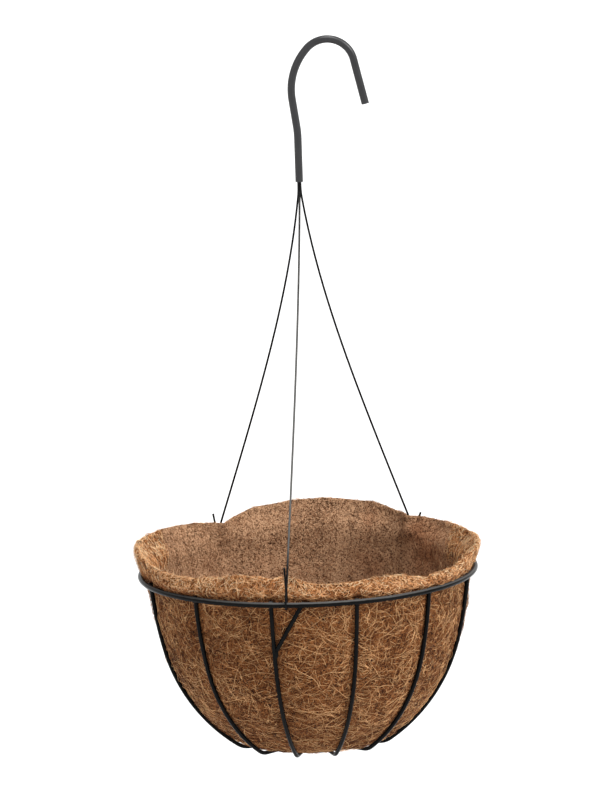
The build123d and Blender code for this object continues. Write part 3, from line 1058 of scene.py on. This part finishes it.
def fibres(name, random, count, material, thick, tone_spread, **walk_settings):
    """A piece of many fibres. Each gets a place on the map by its tone, from 0 to 1, which
    is drawn about the first number of tone_spread with the second as its spread.

    A fibre's sides stand round its centre line, at angles from the felt's outward way with
    its part along the fibre taken off. The radius is drawn from thick, and tapers to
    LEAST_TAPER of that at the ends as the root of a sine.
    """
    points, ways, outer, stain = fibre_lines(random, count, **walk_settings)
    count = len(points)
    ahead = np.gradient(points, axis=1)
    ahead /= np.linalg.norm(ahead, axis=2, keepdims=True)
    normal = ways - (ways * ahead).sum(axis=2, keepdims=True) * ahead
    normal /= np.linalg.norm(normal, axis=2, keepdims=True)
    across = np.cross(ahead, normal)
    stations = points.shape[1]
    bulge = np.sin(pi * np.linspace(0, 1, stations)).clip(0) ** 0.5
    radius = random.uniform(*thick, (count, 1)) * (LEAST_TAPER + (1 - LEAST_TAPER) * bulge)
    turn = random.uniform(0, tau, (count, 1, 1)) + np.arange(FIBRE_SIDES) * tau / FIBRE_SIDES
    ring = normal[:, :, None] * np.cos(turn)[..., None]
    ring = ring + across[:, :, None] * np.sin(turn)[..., None]
    rings = points[:, 1:-1, None] + radius[:, 1:-1, None, None] * ring[:, 1:-1]
    middle = points[:, stations // 2] - np.array(BASKET)
    tone = random.normal(*tone_spread, count) + tone_shift(middle, outer, stain)
    tone = np.clip(tone, 0.0, 1 - MAP_WIDTH)
    tips = points[:, [0, -1]]
    piece = tubes(name, rings, tips, material, "liner", map_start=tone, map_width=MAP_WIDTH)


for stations in (5, 13):
    print("a fibre of", stations, "stations has", 2 * FIBRE_SIDES * (stations - 2), "triangles")

# %% [markdown]
# ## The fibres' colours
# Dry husk fibre runs from chestnut to straw. A fibre's tone is its place along the map's
# U, so one ramp colours a whole layer, read from the map alone.
# Along V each fibre is painted darker towards its two ends, a painted shade where it dives into the
# mat.


# %% Finish the fibres
def coir_fibre(name, stops, end_shade):
    """Fibre colour from a ramp of stops on U, darkened by end_shade, a painted shade, at both ends
    of V.
    """
    finish = Finish(name)
    tone, along, _ = finish.split(finish.map())
    middle = (along * (1 - along) * 4) ** 0.6
    colour = finish.ramp(tone, stops)
    # Painted shade: each fibre is darker towards both ends, where it dives into the mat.
    finish.set(
        Base_Color=finish.mix(middle, finish.tinted(colour, grey(end_shade)), colour),
        Roughness=0.62 - tone * 0.12,
        Specular_IOR_Level=0.12,
    )
    return finish.material


outer_fibre = coir_fibre("outer_fibre", [
    (0.00, opaque(0.018, 0.004, 0.001)),
    (0.30, opaque(0.095, 0.024, 0.005)),
    (0.60, opaque(0.280, 0.097, 0.027)),
    (1.00, opaque(0.860, 0.500, 0.235)),
], end_shade=0.45)
inner_fibre = coir_fibre("inner_fibre", [
    (0.00, opaque(0.060, 0.021, 0.008)),
    (0.30, opaque(0.226, 0.096, 0.042)),
    (0.60, opaque(0.430, 0.215, 0.107)),
    (1.00, opaque(0.720, 0.450, 0.258)),
], end_shade=0.5)
# Partly painted light: the edge's fibres are coloured much lighter than the outside's, partly for
# the lamps' light on the up-facing crest.
rim_fibre_with_top_light = coir_fibre("rim_fibre_with_top_light", [
    (0.00, opaque(0.115, 0.028, 0.007)),
    (0.30, opaque(0.500, 0.203, 0.074)),
    (0.60, opaque(0.880, 0.470, 0.207)),
    (1.00, opaque(0.990, 0.750, 0.460)),
], end_shade=0.5)
print("fibre finishes", outer_fibre.name, inner_fibre.name, rim_fibre_with_top_light.name)

# %% [markdown]
# ## Laying the fibres
# The outside carries a dense ground of short fibres, in two pieces, then shorter and
# lighter bits, and a few long pale strays that catch the eye. The standing edge is fluffed
# up by the cutter, so its fibres are fine and paler, and they are coloured lighter still
# as painted light, for the lamps above on the up-facing crest. The inside is as fine and lies lower.

# %% Lay the fibres
PIECE_COUNT = 10500
STRAY_COUNT = 2300
# Girths at which the layers start and end. They overlap a little at the edge.
SIDE_START = 0.004
RIM_START = np.interp(0.001, SECTION[:CAP_START, 1], GIRTH[:CAP_START])
RIM_END = CUT_GIRTH + LOOK_REACH + 0.006
INSIDE_START = CUT_GIRTH - 0.004
INSIDE_END = GIRTH[-1] - LEAST_GIRTH
random = np.random.default_rng(5)
short = dict(stations=5, curl=0.14)
long = dict(stations=13, curl=0.20, length=(0.018, 0.058), thick=(0.00015, 0.00026))
coarse = dict(**short, thick=(0.00014, 0.00025))
fine = dict(**short, thick=(0.00012, 0.00021), length=(0.006, 0.017))
outside = dict(zone=(SIDE_START, RIM_START), look=1, material=outer_fibre)
edge = dict(zone=(RIM_START, RIM_END), look=1, material=rim_fibre_with_top_light)
inside = dict(zone=(INSIDE_START, INSIDE_END), look=0, material=inner_fibre)
for number in range(2):
    fibres(f"coir_ground_{number + 1}", random, PIECE_COUNT, tone_spread=(0.47, 0.38),
           **outside, **coarse, length=(0.008, 0.021), rise=0.00055, level=0.25)
fibres("coir_bits", random, PIECE_COUNT, tone_spread=(0.72, 0.34),
       **outside, **coarse, length=(0.005, 0.013), rise=0.0007, level=0.25)
fibres("coir_long", random, STRAY_COUNT, tone_spread=(0.84, 0.20),
       **outside, **long, rise=0.0009, level=0.45)
for number in range(2):
    fibres(f"coir_rim_{number + 1}", random, PIECE_COUNT, tone_spread=(0.59, 0.31),
           **edge, **fine, rise=0.0007, level=0.1)
for number in range(2):
    fibres(f"coir_inner_{number + 1}", random, PIECE_COUNT, tone_spread=(0.50, 0.34),
           **inside, **fine, rise=0.0004, level=0.0)
fibre_faces = sum(len(o.data.polygons) for o in bpy.data.objects if o.name.startswith("coir_"))
print("fibre and shell faces", fibre_faces)

# %% [markdown]
# ## The last update
# The dressed basket keeps the CAD model's size, but for the fluff of the felt. Last, the
# view layer is brought up to date, so every new piece stands in its place.

# %% Update the view layer
bpy.context.view_layer.update()
